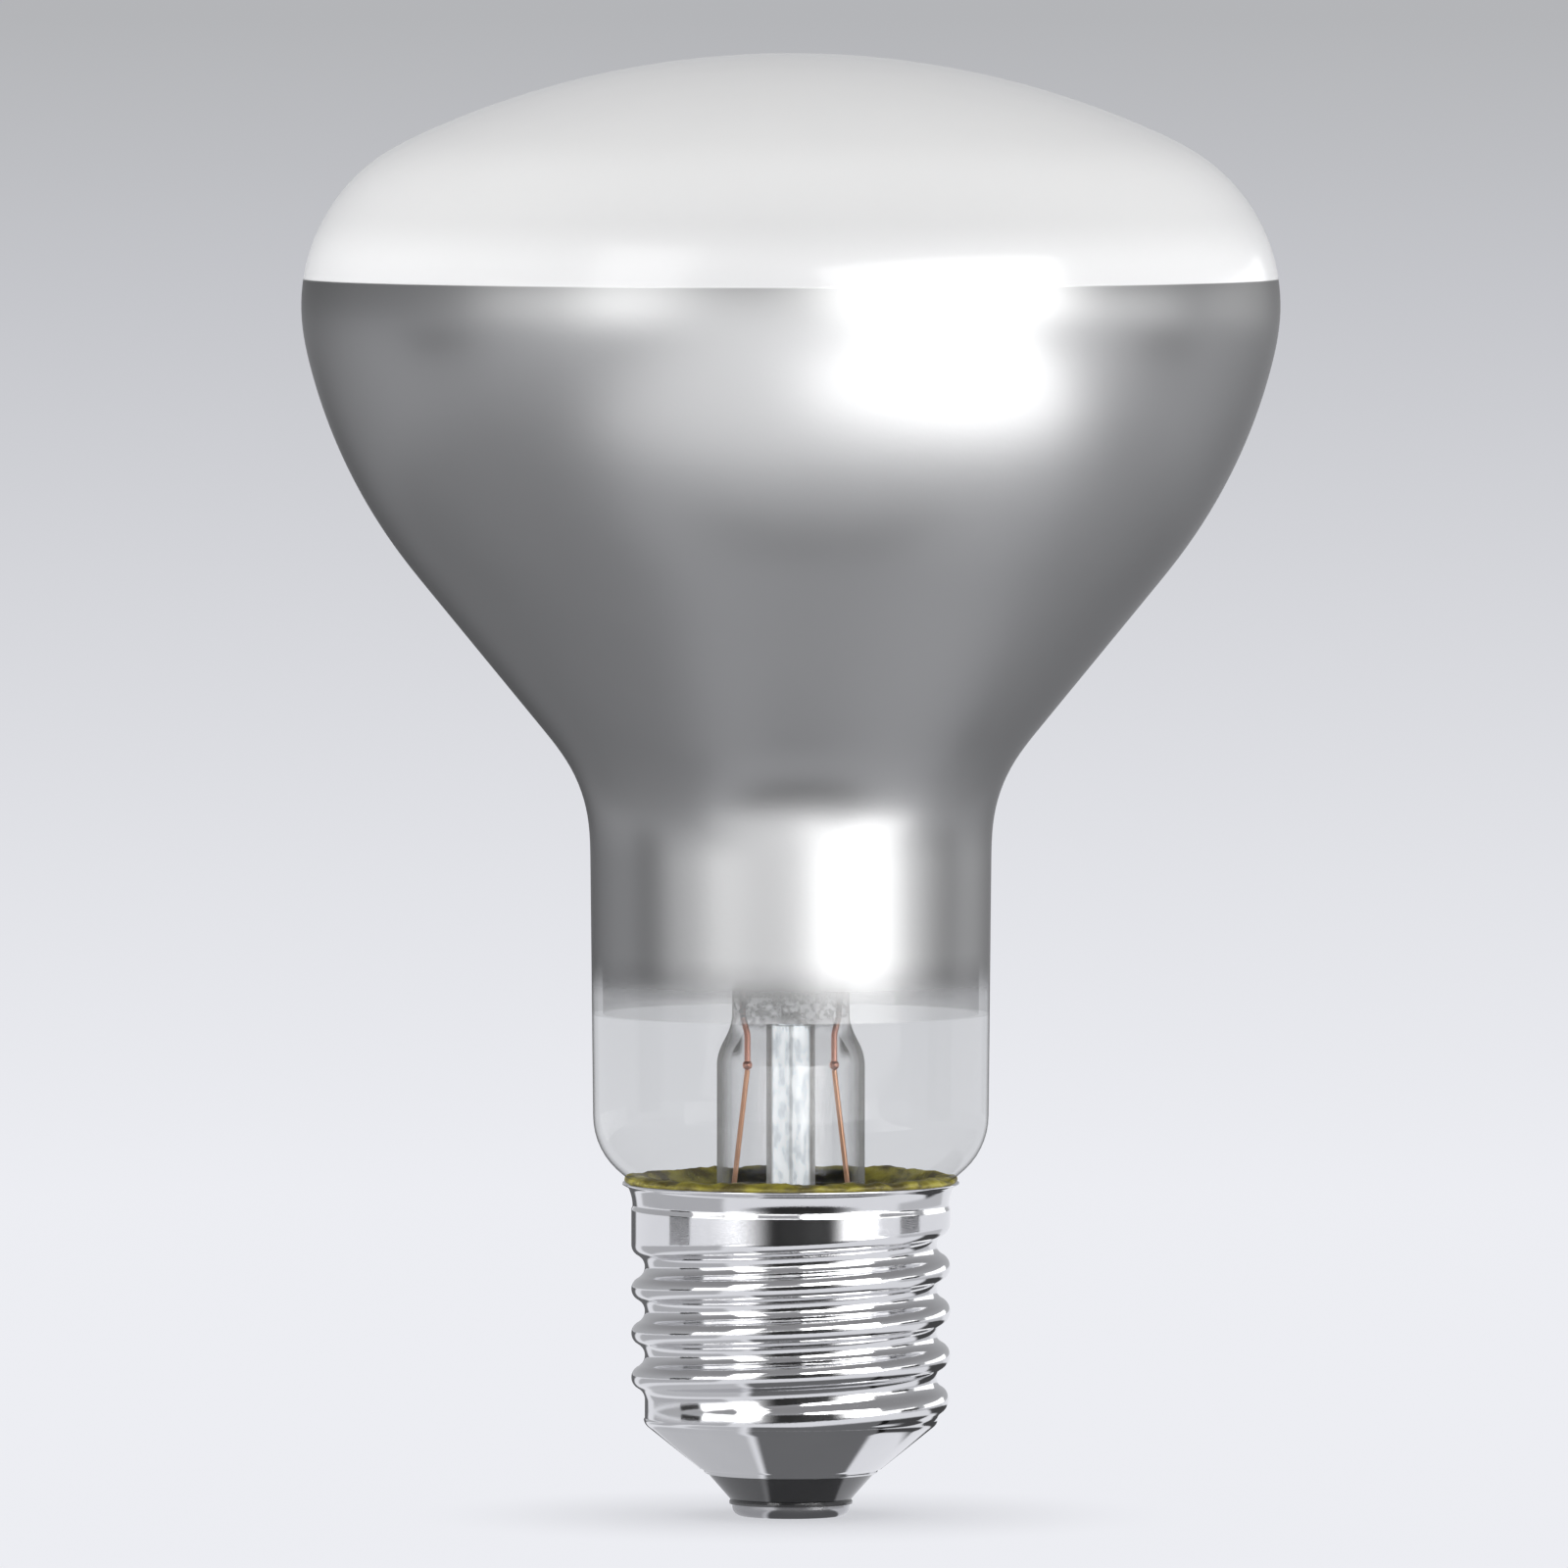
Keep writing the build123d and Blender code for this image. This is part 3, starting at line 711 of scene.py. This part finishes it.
def eased_slopes(stretches):
    """Slope at every step down the outline, averaged over a short stretch round each step."""
    slopes = []
    for length, start, end in stretches:
        count = round(length / STEP)
        slopes += [start + (end - start) * (i + 0.5) / count for i in range(count)]
    sums = [0]
    for slope in slopes:
        sums.append(sums[-1] + slope)
    foot = sum(length for length, start, end in stretches[-4:]) + 2 * EASE
    eased = []
    for i in range(len(slopes)):
        to_foot = (len(slopes) - i) * STEP < foot
        half = min(round((FOOT_EASE if to_foot else EASE) / STEP / 2), i, len(slopes) - 1 - i)
        eased.append((sums[i + half + 1] - sums[i - half]) / (2 * half + 1))
    return eased


def outline_rows(slopes, inset, spacing):
    """Rows down the outline, that far apart, moved in by inset."""
    r, z = 0.0, LAMP_H
    path = []
    for slope in slopes:
        r += STEP * cosd(slope)
        z -= STEP * sind(slope)
        path.append((r, z, slope))
    miss_r, miss_z = SEAL_R - r, SEAL_Z - z
    rows = []
    every = round(spacing / STEP)
    for i in list(range(every - 1, len(path) - 1, every)) + [len(path) - 1]:
        r, z, slope = path[i]
        share = (i + 1) / len(path)
        r, z = r + miss_r * share, z + miss_z * share
        skin_r = min(r - inset * sind(slope), BULB_R - INSIDE_CAD)
        rows.append(level_row(skin_r, z - inset * cosd(slope)))
    return rows, (miss_r, miss_z)


slopes = eased_slopes(stretches)
outer_glass, miss = outline_rows(slopes, 0, OUTER_ROWS_APART)
inner_glass, miss = outline_rows(slopes, GLASS_T, INNER_ROWS_APART)
print("easing moved the foot by", [round(v, 3) for v in miss], "mm, spread back over the outline")

# %% [markdown]
# ## Bulb glass and its coats
# What shows of the bulb is mostly what lies behind the glass: a white coat in the dome, a
# mirror in the bowl and nothing at the neck's foot. Real coats under real glass would need
# many slow bounces, so the glass takes the look of each zone itself, split by height with
# masks, and only the neck's foot lets light through. Just over the seam the white is painted
# brighter, as painted light. The mirror is aluminium vapour, so it thins out softly below,
# down to a last pale edge.
#
# Clear glass seen straight on is nearly nothing. At a slant it mirrors more, and right at its
# outline it is darkened by painted shade, a dark matt share. Layer Weight gives that slant.

# %% Bulb glass and its coats
SEAM_Z = 101.2 * MM
MIRROR_FULL_Z = 46.6 * MM
MIRROR_THIN_Z = 41.0 * MM
MIRROR_END_Z = 41.1 * MM
GLASS_TINT = (0.872, 0.875, 0.872, 1)
WHITE = 0.65, 0.68
# Tone of the white just over the seam, painted brighter as painted light.
PAINTED_LIGHT_WHITE_AT_SEAM = 0.78
MIRROR = 0.30, 0.32
MIRROR_TINT = 0.36
THIN_MIRROR = 0.2
BULB_SIDES = 224


def clear_glass(finish, tint, dark_from, dark_to, dark_share):
    """Thin clear glass. Between those two slants painted shade darkens it to an outline."""
    through = finish.node("ShaderNodeBsdfTransparent", inputs={"Color": tint})
    slant = finish.node("ShaderNodeLayerWeight", inputs={"Blend": 0.5}, out="Facing")
    body = finish.node("ShaderNodeBsdfDiffuse", inputs={"Color": grey(0.10)})
    gloss = finish.node("ShaderNodeBsdfGlossy", inputs={"Color": grey(1), "Roughness": 0.04})
    # Painted shade: a dark matt share darkens the glass towards its outline.
    outline = finish.ramp(slant, dark_from, dark_to) * dark_share
    shine = 0.01 + 0.22 * slant**3
    return finish.mix_shaders(outline, finish.mix_shaders(shine, through, gloss), body)


def bulb_finish(name, inner=False):
    """Finish of the glass. Only the outer skin tints and mirrors, so the wall shows no double edge."""
    finish = new_finish(name)
    z = finish.place("Z")
    dome = finish.ramp(z, SEAM_Z - 0.08 * MM, SEAM_Z + 0.08 * MM)
    wander = (finish.noise(4 * MM, 2) - 0.5) * (0.8 * MM)
    mirror = finish.ramp(z + wander, MIRROR_THIN_Z, MIRROR_FULL_Z)
    last_edge = finish.ramp(z, MIRROR_END_Z - 0.05 * MM, MIRROR_END_Z + 0.05 * MM) * THIN_MIRROR
    grain = finish.noise(0.35 * MM, 3)
    cloud = finish.noise(14 * MM, 3)
    # Painted light: the white is painted brighter just over the seam.
    painted_light_near_seam = finish.ramp(z, SEAM_Z + 5.5 * MM, SEAM_Z + 1.5 * MM)
    white = finish.mix(cloud, grey(WHITE[0]), grey(WHITE[1]))
    white = finish.mix(painted_light_near_seam, white, grey(PAINTED_LIGHT_WHITE_AT_SEAM))
    metal = finish.mix(cloud, grey(MIRROR[0]), grey(MIRROR[1]))
    coat = finish.node(
        "ShaderNodeBsdfPrincipled",
        inputs={
            "Base Color": finish.mix(dome, metal, white),
            "Metallic": 1 - dome,
            "Roughness": 0.32 + 0.04 * cloud + 0.02 * grain,
            "Specular Tint": grey(MIRROR_TINT),
            "Coat Weight": dome * 0.8,
            "Coat Roughness": 0.14,
            "Normal": finish.bump(grain, 0.004 * MM),
        },
    )
    if inner:
        glass = finish.node("ShaderNodeBsdfTransparent", inputs={"Color": grey(1)})
    else:
        glass = clear_glass(finish, GLASS_TINT, 0.80, 0.97, 0.6)
    return finish.surface(finish.mix_shaders(mirror.larger(last_edge), glass, coat))


bulb_rows = outer_glass + inner_glass[::-1]
poles = LAMP_H, LAMP_H - GLASS_T
inner_skin = len(outer_glass), bulb_finish("bulb_glass_inside", inner=True)
outer_skin = bulb_finish("bulb_glass")
bulb = ring_mesh("bulb_blown", bulb_rows, BULB_SIDES, outer_skin, poles, inner_skin)
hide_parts("glass_bulb")

# %% [markdown]
# ## Coats behind the glass
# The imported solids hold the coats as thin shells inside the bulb. The opaque zones of the glass
# hide them, but the mirror's end would show as a hard edge through the clear foot. So its
# Alpha fades out where the glass begins to clear.

# %% Coats behind the glass


def dress(name, finish):
    """Gives a node of the frame its finish."""
    nodes[name].data.materials.clear()
    nodes[name].data.materials.append(finish)
    nodes[name].data.shade_smooth()


def coat_finish(name, tone, metallic, alpha_from=None):
    """Thin coat with a fine grain, which may fade in over some height."""
    finish = new_finish(name)
    patch = finish.noise(6 * MM, 3)
    inputs = {
        "Base Color": finish.mix(patch, grey(tone), grey(tone + 0.04)),
        "Metallic": metallic,
        "Roughness": 0.35 + 0.1 * patch,
        "Normal": finish.bump(finish.noise(0.4 * MM, 3), 0.004 * MM),
    }
    if alpha_from:
        inputs["Alpha"] = finish.ramp(finish.place("Z"), alpha_from, alpha_from + 3 * MM)
    return finish.surface(finish.node("ShaderNodeBsdfPrincipled", inputs=inputs))


dress("diffuser_coating", coat_finish("white_coat", 0.66, 0.0))
dress("reflector_coating", coat_finish("mirror_coat", 0.60, 1.0, MIRROR_FULL_Z))

# %% [markdown]
# ## Glass stem
# The stem is a flared tube whose top is pressed flat round the two leads, with the thin
# exhaust tube fused into it. Through the clear foot one sees the flare's thick sides as grey
# bands, the press as a dim arch full of tiny bubbles, and the exhaust tube as a bright rod,
# because it gathers the light of the backdrop. Real refraction would have to pass a dozen glass
# skins here, more than a ray is followed. So the slant paints the bands in as painted shade, the
# press's dimness is painted shade over its bubbles, and the exhaust tube is painted as the bright
# rod that it looks like: it glows with painted light, with painted shade at its edges and along
# its bore.

# %% Glass stem
FLARE_BORE_R = 5.0 * MM
SHOULDER_Z = 37.4 * MM
SHOULDER_SIDE_X = 4.3 * MM
PRESS_Z = 40.6 * MM
PRESS_TOP_Z = 42.6 * MM


def flare_finish():
    finish = new_finish("stem_glass")
    z = finish.place("Z")
    ripple = finish.noise(1.6 * MM, 2, stretch=(1, 1, 0.25))
    slant = finish.node("ShaderNodeLayerWeight", inputs={"Blend": 0.5}, out="Facing")
    from_axis = finish.length(finish.stretched(finish.place(), (1, 1, 0)))
    outer = finish.ramp(from_axis, FLARE_BORE_R + 0.2 * MM, FLARE_BORE_R + 0.6 * MM)
    across = finish.place("X")
    sides = finish.ramp(across.math("ABSOLUTE", across), SHOULDER_SIDE_X - 0.5 * MM, SHOULDER_SIDE_X)
    outer = outer.larger(finish.ramp(z, SHOULDER_Z, SHOULDER_Z + 0.8 * MM)) * sides
    # Painted shade: grey bands where the flare's outer skin slants, for its thick sides.
    band = finish.ramp(slant, 0.26, 0.74) * outer
    bubbles = finish.ramp(finish.noise(0.5 * MM, 3), 0.38, 0.66)
    wavy_z = z + (finish.noise(2 * MM, 2) - 0.5) * (2 * MM)
    press = finish.ramp(wavy_z, PRESS_Z - 0.9 * MM, PRESS_Z + 0.5 * MM)
    press = press * finish.ramp(z, PRESS_TOP_Z + 1.2 * MM, PRESS_TOP_Z)
    through = finish.node("ShaderNodeBsdfTransparent", inputs={"Color": (0.975, 0.975, 0.975, 1)})
    body = finish.node("ShaderNodeBsdfDiffuse", inputs={"Color": (0.24, 0.24, 0.235, 1)})
    gloss_inputs = {"Color": grey(1), "Roughness": 0.08, "Normal": finish.bump(ripple, 0.05 * MM)}
    gloss = finish.node("ShaderNodeBsdfGlossy", inputs=gloss_inputs)
    shine = 0.03 + 0.10 * slant**3
    # Painted shade: the press is dimmed, speckled by its bubbles.
    dim = (band * (0.6 + 0.2 * ripple)).larger(press * (0.2 + 0.6 * bubbles))
    return finish.surface(finish.mix_shaders(dim, finish.mix_shaders(shine, through, gloss), body))


def exhaust_finish():
    finish = new_finish("exhaust_glass")
    slant = finish.node("ShaderNodeLayerWeight", inputs={"Blend": 0.5}, out="Facing")
    seed = finish.noise(0.7 * MM, 3, stretch=(1, 1, 0.5))
    across = finish.place("X")
    split = finish.ramp(across.math("ABSOLUTE", across), 0.22 * MM, 0.06 * MM)
    # Painted light: the rod's bright tone, patchy with its seeds, is also its Emission, so it glows
    # though it is no lamp.
    painted_glow_tone = finish.mix(finish.ramp(seed, 0.35, 0.65), (0.64, 0.68, 0.72, 1), (0.93, 0.97, 1.0, 1))
    # Painted shade: the rod darkens at its slanted edges and along a line down its bore.
    edge = finish.ramp(slant, 0.26, 0.44).larger(split * 0.4)
    shader = finish.node(
        "ShaderNodeBsdfPrincipled",
        inputs={
            "Base Color": finish.mix(edge, painted_glow_tone, (0.26, 0.26, 0.26, 1)),
            "Emission Color": finish.mix(edge, painted_glow_tone, (0.16, 0.16, 0.16, 1)),
            "Emission Strength": 0.8,
            "Roughness": 0.15 + 0.1 * seed,
            "Normal": finish.bump(seed, 0.05 * MM),
        },
    )
    return finish.surface(shader)


def rod_finish():
    finish = new_finish("arbor_glass")
    ripple = finish.noise(1.5 * MM, 2)
    shader = finish.node(
        "ShaderNodeBsdfPrincipled",
        inputs={
            "Base Color": finish.mix(ripple, (0.93, 0.94, 0.94, 1), (0.97, 0.98, 0.98, 1)),
            "Roughness": 0.02 + 0.03 * ripple,
            "Transmission Weight": 1.0,
            "Normal": finish.bump(ripple, 0.02 * MM),
        },
    )
    return finish.surface(shader)


dress("stem_flare", flare_finish())
dress("exhaust_tube", exhaust_finish())
dress("arbor_rod", rod_finish())

# %% [markdown]
# ## Capping cement
# The cap is fixed with a ring of cement, baked until it swells out over the rim. Once set, it
# is a lumpy olive-yellow crust, brown where it is thin. A smooth ring would look like plastic, so
# the rows are pushed about by noise, least where the cement meets glass and metal.

# %% Capping cement
CEMENT_TOP_Z = CAP_TOP_Z + 0.95
CEMENT_FOOT_Z = CAP_TOP_Z - 3.2
CEMENT_LIP_R = COLLAR_R + MOUTH_FLARE + 0.30
LUMP = 0.30
WIDE_LUMPS = 0.55
FINE_LUMPS = 1.7
CEMENT_SIDES = 360


def lumpy_row(r, z, share):
    """Row pushed out and up by noise. Share is 0 where the cement has to sit still."""

    def at(turn):
        place = Vector((cosd(turn), sind(turn), 0)) * r
        swell = noise.noise(place * WIDE_LUMPS + Vector((0, 0, z)))
        swell += 0.5 * noise.noise(place * FINE_LUMPS + Vector((3, 1, z)))
        return r + LUMP * share * swell * 0.7, z + LUMP * share * swell

    return at


cement_rows = [
    level_row(SEAL_R + 0.05, CEMENT_FOOT_Z),
    level_row(COLLAR_R - SHEET, CEMENT_FOOT_Z),
    level_row(COLLAR_R - SHEET, mouth_foot_z),
    level_row(COLLAR_R - SHEET + MOUTH_FLARE, CAP_TOP_Z),
    lumpy_row(CEMENT_LIP_R - 0.22, CAP_TOP_Z + 0.20, 0.3),
    lumpy_row(CEMENT_LIP_R - 0.12, CAP_TOP_Z + 0.34, 0.6),
    lumpy_row(CEMENT_LIP_R - 0.22, CAP_TOP_Z + 0.50, 0.8),
    lumpy_row(CEMENT_LIP_R - 0.45, CAP_TOP_Z + 0.62, 0.9),
    lumpy_row(CEMENT_LIP_R - 0.80, CAP_TOP_Z + 0.70, 0.9),
    lumpy_row(CEMENT_LIP_R - 1.20, CEMENT_TOP_Z - 0.18, 0.8),
    lumpy_row(CEMENT_LIP_R - 1.60, CEMENT_TOP_Z - 0.16, 0.6),
    level_row(SEAL_R + 0.85, CEMENT_TOP_Z - 1.0),
    level_row(SEAL_R + 0.05, CEMENT_TOP_Z - 1.9),
]


def cement_finish():
    finish = new_finish("capping_cement")
    patch = finish.ramp(finish.noise(2.2 * MM, 3, stretch=(1, 1, 2)), 0.36, 0.66)
    grain = finish.noise(0.3 * MM, 3)
    crust = finish.mix(patch, (0.11, 0.085, 0.010, 1), (0.40, 0.35, 0.035, 1))
    crumbs = finish.ramp(grain, 0.62, 0.75) * 0.5
    shader = finish.node(
        "ShaderNodeBsdfPrincipled",
        inputs={
            "Base Color": finish.mix(crumbs, crust, (0.60, 0.56, 0.20, 1)),
            "Roughness": 0.45 + 0.2 * grain,
            "Normal": finish.bump(grain, 0.06 * MM),
        },
    )
    return finish.surface(shader)


cement = ring_mesh("capping_cement_crust", cement_rows, CEMENT_SIDES, cement_finish())
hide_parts("capping_cement")

# %% [markdown]
# ## Metals, wires and insulator
# The rest is small. Each piece still gets its own finish, with colour that wanders a little,
# since no drawn wire or cast glass is even. The leads are copper-clad and look pinkish orange
# behind the glass. The insulator is black glass, cast hot into the cap's foot: its high IOR
# gives the strong gloss of such glass.

# %% Metals, wires and insulator


def small_finish(name, low, high, size, metallic, roughness, relief, more):
    """Finish whose colour wanders between two colours over patches of that size."""
    finish = new_finish(name)
    patch = finish.noise(size * MM, 3)
    inputs = {
        "Base Color": finish.mix(patch, (*low, 1), (*high, 1)),
        "Metallic": metallic,
        "Roughness": roughness - 0.05 + 0.1 * patch,
        "Normal": finish.bump(finish.noise(size * MM / 3, 3), relief * MM),
        **more,
    }
    return finish.surface(finish.node("ShaderNodeBsdfPrincipled", inputs=inputs))


# Each row: finish, its two colours, size of its patches in mm, metallic, roughness, depth of its
# relief in mm, more sockets, and the nodes that wear it.
SMALL_PIECES = [
    ("lead_metal", (0.55, 0.54, 0.52), (0.66, 0.65, 0.62), 2, 1.0, 0.3, 0.004, {},
     ["inner_lead_left", "inner_lead_right"]),
    ("support_metal", (0.40, 0.40, 0.41), (0.50, 0.50, 0.51), 1, 1.0, 0.3, 0.003, {},
     ["support_wire_1", "support_wire_2", "support_wire_3"]),
    ("tungsten", (0.20, 0.20, 0.21), (0.32, 0.32, 0.33), 0.5, 1.0, 0.4, 0.02, {},
     ["filament"]),
    ("seal_metal", (0.78, 0.36, 0.27), (0.90, 0.48, 0.38), 1, 0.35, 0.3, 0.004, {},
     ["seal_wire_left", "seal_wire_right"]),
    ("copper", (0.76, 0.36, 0.20), (0.90, 0.50, 0.31), 1, 0.35, 0.3, 0.004, {},
     ["outer_lead_contact", "outer_lead_shell"]),
    ("solder", (0.48, 0.48, 0.49), (0.62, 0.62, 0.63), 0.8, 1.0, 0.3, 0.02, {},
     ["contact_solder", "shell_solder"]),
    ("black_glass", (0.012, 0.012, 0.013), (0.022, 0.022, 0.023), 2, 0.0, 0.14, 0.003, {"IOR": 2.1},
     ["cap_insulator"]),
    ("contact_metal", (0.40, 0.40, 0.41), (0.50, 0.50, 0.51), 2, 1.0, 0.2, 0.004, {},
     ["centre_contact"]),
]
for *look, wearers in SMALL_PIECES:
    small = small_finish(*look)
    for wearer in wearers:
        dress(wearer, small)
print("dressed nodes:", len([name for name in nodes if nodes[name].data.materials]))

# %% [markdown]
# ## Finish
# The last line sets the plain Standard view transform.

# %% Finish
bpy.context.scene.view_settings.view_transform = "Standard"
